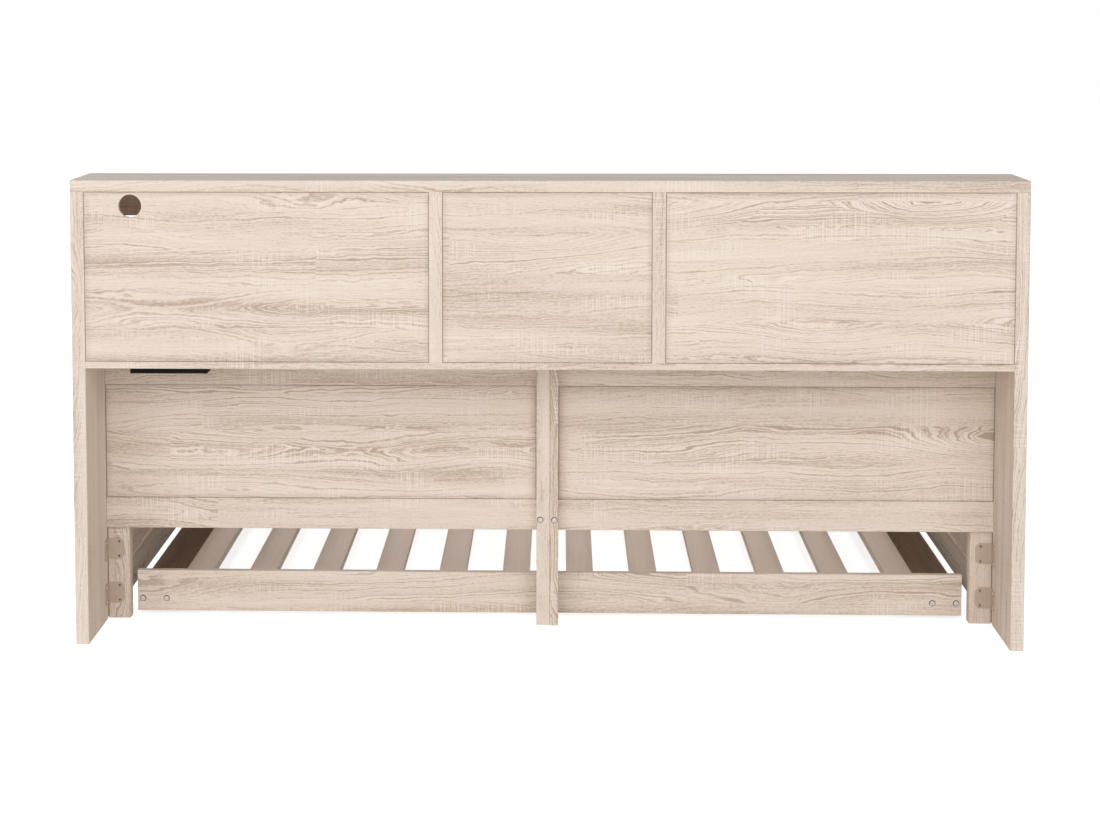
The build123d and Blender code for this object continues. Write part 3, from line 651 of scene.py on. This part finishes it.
def slat_screws(node, body, count, zinc):
    """Two countersunk screws in each end of every slat, flush with its top."""
    low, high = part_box(node)
    pitch = (high.x - low.x - SLAT_W) / (count - 1)
    first = low.x + SLAT_W / 2
    z = high.z - SLAT_SCREW_SINK
    places = [
        ((first + number * pitch + side * SLAT_SCREW_APART / 2, y, z), (0, 0, 1))
        for number in range(count)
        for side in (-1, 1)
        for y in (low.y + SLAT_SCREW_IN, high.y - SLAT_SCREW_IN)
    ]
    bm = copies(cross_head(SLAT_SCREW_R, SLAT_SCREW_H), places)
    finish_piece(bm, f"{node}_screws", body, zinc)


def solid_ends(node):
    """The separate solids of a node, each as its lowest and highest corner.

    Known fault: they come in no fixed order, because the flood fill starts from a set.
    """
    bm = bmesh.new()
    bm.from_mesh(NODES[node].data)
    bmesh.ops.remove_doubles(bm, verts=bm.verts, dist=WELD)
    left = set(bm.verts)
    boxes = []
    while left:
        group, waiting = set(), [left.pop()]
        while waiting:
            vert = waiting.pop()
            group.add(vert)
            for edge in vert.link_edges:
                other = edge.other_vert(vert)
                if other in left:
                    left.remove(other)
                    waiting.append(other)
        corners = [vert.co for vert in group]
        low = Vector([min(c[i] for c in corners) for i in range(3)])
        high = Vector([max(c[i] for c in corners) for i in range(3)])
        boxes.append((low, high))
    bm.free()
    return boxes


def bolt_heads(node, body, direction, zinc):
    """Socket heads on the bolts of a node, and their shanks.

    The roll of each head follows its place in the order, so it can differ from run to run.
    """
    out = Vector(direction)
    places = []
    for low, high in solid_ends(node):
        middle = (low + high) / 2
        end = high.y if out.y > 0 else low.y
        places.append((Vector((middle.x, end, middle.z)) - out * BOLT_HEAD_H, direction))
    bm = copies(hex_head(BOLT_HEAD_R, BOLT_HEAD_H), places)
    for low, high in solid_ends(node):
        middle = (low + high) / 2
        shank = bmesh.ops.create_cone(
            bm, cap_ends=True, segments=SHANK_SEGMENTS, radius1=BOLT_SHANK_R,
            radius2=BOLT_SHANK_R, depth=high.y - low.y - 2 * BOLT_HEAD_H,
        )["verts"]
        turn = Matrix.Rotation(math.pi / 2, 4, "X")
        bmesh.ops.transform(bm, matrix=Matrix.Translation(middle) @ turn, verts=shank)
    finish_piece(bm, f"{node}_socket_head", body, zinc, [node])


WASHER_R = 7.2 * MM
WASHER_T = 0.6 * MM
WASHER_BORE_R = 5.5 * MM
WASHER_ROUND = 0.3 * MM


def washers(node, body, washer_shadow):
    """A thin washer under the head of each bolt of a node, its near-black colour a painted shadow
    round the head.
    """
    bm = bmesh.new()
    turn = Matrix.Rotation(-math.pi / 2, 4, "X")
    profile = [
        (WASHER_BORE_R, 0.0), (WASHER_BORE_R, WASHER_T), (WASHER_R - WASHER_ROUND, WASHER_T),
        (WASHER_R, WASHER_T - WASHER_ROUND), (WASHER_R, 0.0), (WASHER_BORE_R, 0.0),
    ]
    for low, high in solid_ends(node):
        middle = (low + high) / 2
        seat = Matrix.Translation((middle.x, high.y - BOLT_HEAD_H, middle.z)) @ turn
        ring = bmesh.new()
        turned(ring, profile, BOLT_SEGMENTS)
        join(bm, ring, seat)
    finish_piece(bm, f"{node}_washers", body, washer_shadow)


# The moulded wheel: radii, half widths and roundings
WHEEL_TREAD = 12 * MM
WHEEL_EDGE = 2.4 * MM
WHEEL_RIM_T = 6 * MM
WHEEL_DISC = 3 * MM
WHEEL_HUB_R = 9 * MM
WHEEL_BORE_R = 4.1 * MM
WHEEL_FILLET = 0.8 * MM
WHEEL_CHAMFER = 0.6 * MM
WHEEL_SEGMENTS = 56
TREAD_CROWN = 0.6 * MM
SPOKES = 8
SPOKE_T = 2.0 * MM
SPOKE_H = 4.5 * MM
SPOKE_OUT = 2.2 * MM
SPOKE_LAP = 1.0 * MM
SMOOTH_AREA = 4e-5


def trundle_wheel(node, nylon):
    """A moulded wheel: crowned tread with rounded edges, disc, hub and ribs on both sides."""
    low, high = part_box(node)
    middle = (low + high) / 2
    radius = (high.z - low.z) / 2
    half = (high.x - low.x) / 2
    tread, edge, disc = WHEEL_TREAD, WHEEL_EDGE, WHEEL_DISC
    rim, hub, bore = radius - WHEEL_RIM_T, WHEEL_HUB_R, WHEEL_BORE_R
    fillet, chamfer = WHEEL_FILLET, WHEEL_CHAMFER
    bm = bmesh.new()
    arc = [
        (radius - edge + edge * math.sin(a), tread - edge + edge * math.cos(a))
        for a in (math.radians(d) for d in range(0, 91, 22))
    ]
    side = [
        (bore, half), (hub - chamfer, half), (hub, half - chamfer), (hub, disc + fillet),
        (hub + fillet, disc), (rim - fillet, disc), (rim, disc + fillet),
        (rim, tread - chamfer), (rim + chamfer, tread),
    ] + [(r - TREAD_CROWN, h) for r, h in arc] + [(radius, tread * 0.4)]
    other = [(r, -h) for r, h in reversed(side)]
    turned(bm, side + other + [(bore, half)], WHEEL_SEGMENTS)
    for number in range(SPOKES):
        for face in (-1, 1):
            size = (rim - hub + SPOKE_LAP, SPOKE_T, SPOKE_H)
            place = Vector(((rim + hub) / 2, 0, face * (disc + SPOKE_OUT)))
            block(bm, size, place, math.tau * number / SPOKES)
    turn = Matrix.Rotation(math.pi / 2, 4, "Y")
    bmesh.ops.transform(bm, matrix=Matrix.Translation(middle) @ turn, verts=bm.verts)
    piece = finish_piece(bm, f"{node}_moulded", node, nylon, [node])
    for face in piece.data.polygons:
        face.use_smooth = len(face.vertices) == 4 and face.area < SMOOTH_AREA


USB_TONGUE = (9.0 * MM, 1.6 * MM, 7.0 * MM)
TONGUE_OUT = 4.5 * MM
TONGUE_DEEP = 7.5 * MM
TONGUE_ROUND = 0.25 * MM


def usb_tongues(contact):
    """The contact tongue in each port of the charging module."""
    low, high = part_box("usb_module")
    middle = (low + high) / 2
    bm = bmesh.new()
    for side in (-1, 1):
        place = (middle.x, middle.y + side * TONGUE_OUT, high.z - TONGUE_DEEP)
        made = block(bm, USB_TONGUE, Vector(place))
        edges = list({edge for vert in made for edge in vert.link_edges})
        bmesh.ops.bevel(
            bm, geom=edges, offset=TONGUE_ROUND, segments=1, profile=0.5, affect="EDGES",
            material=-1,
        )
    finish_piece(bm, "usb_tongues", "daybed", contact)


# The photograph's camera: behind the hutch, a little to one side, slightly above
FRAME_W = 1100
FRAME_H = 824
SENSOR = 36.0
CAMERA_FOCAL_PX = 2565.5
CAMERA_CENTRE_PX = (469.4, 220.0)
CAMERA_SIDE = -0.02755
CAMERA_BEHIND = 5.5398
CAMERA_HEIGHT = 1.4047
CAMERA_TURN = math.radians(-2.0277)
CAMERA_DOWN = math.radians(4.7653)
CAMERA_ROLL = math.radians(0.0831)


def set_camera():
    """The camera as measured from the photograph's edges."""
    rear = CAD_BOX[1][1]
    data = bpy.data.cameras.new("photo_camera")
    data.sensor_fit = "HORIZONTAL"
    data.sensor_width = SENSOR
    data.lens = CAMERA_FOCAL_PX * SENSOR / FRAME_W
    data.shift_x = (FRAME_W / 2 - CAMERA_CENTRE_PX[0]) / FRAME_W
    data.shift_y = (CAMERA_CENTRE_PX[1] - FRAME_H / 2) / FRAME_W
    data.clip_start = 0.05
    data.clip_end = 100.0
    turn, down, roll = CAMERA_TURN, CAMERA_DOWN, CAMERA_ROLL
    ahead = Vector((
        -math.cos(down) * math.sin(turn), -math.cos(down) * math.cos(turn), -math.sin(down)
    ))
    level = Vector((-math.cos(turn), math.sin(turn), 0.0))
    upward = level.cross(ahead)
    right = level * math.cos(roll) - upward * math.sin(roll)
    upward = level * math.sin(roll) + upward * math.cos(roll)
    camera = bpy.data.objects.new("photo_camera", data)
    facing = Matrix((right, upward, -ahead)).transposed().to_4x4()
    place = Vector((CAMERA_SIDE, rear + CAMERA_BEHIND, CAMERA_HEIGHT))
    camera.matrix_world = Matrix.Translation(place) @ facing
    bpy.context.scene.collection.objects.link(camera)
    bpy.context.scene.camera = camera


KEY_STRENGTH = 440.0
FILL_STRENGTH = 120.0
TOP_STRENGTH = 1.9
ROOM_STRENGTH = 0.36
FLOOR_GLOW = 0.78
FLOOR_SIZE = 30.0
FLOOR_DROP = 0.5 * MM


def area_light(name, place, target, size, power, spread=180.0):
    """A rectangular soft box that faces a target."""
    data = bpy.data.lights.new(name, "AREA")
    data.shape = "RECTANGLE"
    data.size, data.size_y = size
    data.energy = power
    data.spread = math.radians(spread)
    lamp = bpy.data.objects.new(name, data)
    aim = (Vector(target) - Vector(place)).to_track_quat("-Z", "Y")
    lamp.matrix_world = Matrix.Translation(Vector(place)) @ aim.to_matrix().to_4x4()
    bpy.context.scene.collection.objects.link(lamp)


def seen_ray(tree):
    """1 for what the camera sees, itself or in a reflection, and 0 for light on its way."""
    rays = add(tree, "ShaderNodeLightPath").outputs
    seen = math_node(tree, "MAXIMUM", rays["Is Camera Ray"], rays["Is Glossy Ray"])
    return math_node(tree, "MAXIMUM", seen, rays["Is Transmission Ray"])


def set_floor():
    """A pale floor that shows as white and keeps the shadow of the bed."""
    bm = bmesh.new()
    bmesh.ops.create_grid(bm, x_segments=1, y_segments=1, size=FLOOR_SIZE)
    bmesh.ops.translate(bm, vec=(0, 0, -FLOOR_DROP), verts=bm.verts)
    mesh = bpy.data.meshes.new("studio_floor")
    bm.to_mesh(mesh)
    bm.free()
    floor = bpy.data.objects.new("studio_floor", mesh)
    bpy.context.scene.collection.objects.link(floor)
    paint, tree, shader = new_material("white_studio_paint", Roughness=0.9)
    shader.inputs["Base Color"].default_value = linear(FLOOR_WHITE)
    shader.inputs["Emission Color"].default_value = linear(STUDIO_WHITE)
    glow = math_node(tree, "MULTIPLY", seen_ray(tree), FLOOR_GLOW)
    tree.links.new(glow, shader.inputs["Emission Strength"])
    floor.data.materials.append(paint)


def set_studio():
    """An even white room with three lamps.

    A broad soft box stands behind the hutch, a weaker one before the bed to one side, and a
    narrow beam falls on the slats from above.
    """
    world = bpy.data.worlds.new("studio")
    world.use_nodes = True
    bpy.context.scene.world = world
    tree = world.node_tree
    tree.nodes.clear()
    white = linear(STUDIO_WHITE)
    room = add(tree, "ShaderNodeBackground", {"Color": white, "Strength": ROOM_STRENGTH})
    shown = add(tree, "ShaderNodeBackground", {"Color": white, "Strength": 1.0})
    mixed = add(
        tree, "ShaderNodeMixShader", {0: seen_ray(tree), 1: room.outputs[0], 2: shown.outputs[0]}
    )
    add(tree, "ShaderNodeOutputWorld", {"Surface": mixed.outputs[0]})
    area_light("key", (0.3, 7.4, 2.8), (0.0, 0.4, 0.6), (11.0, 6.5), KEY_STRENGTH)
    area_light("fill", (4.6, -4.4, 2.3), (0.0, 0.0, 0.5), (4.0, 3.0), FILL_STRENGTH)
    area_light("top", (0.0, -0.35, 3.2), (0.0, -0.35, 0.0), (2.2, 0.8), TOP_STRENGTH, 32.0)


def main():
    """Builds and lights the scene around the CAD nodes."""
    set_camera()
    dress_boards()
    dress_rest()
    set_floor()
    set_studio()
    scene = bpy.context.scene
    scene.view_settings.view_transform = "Standard"


main()
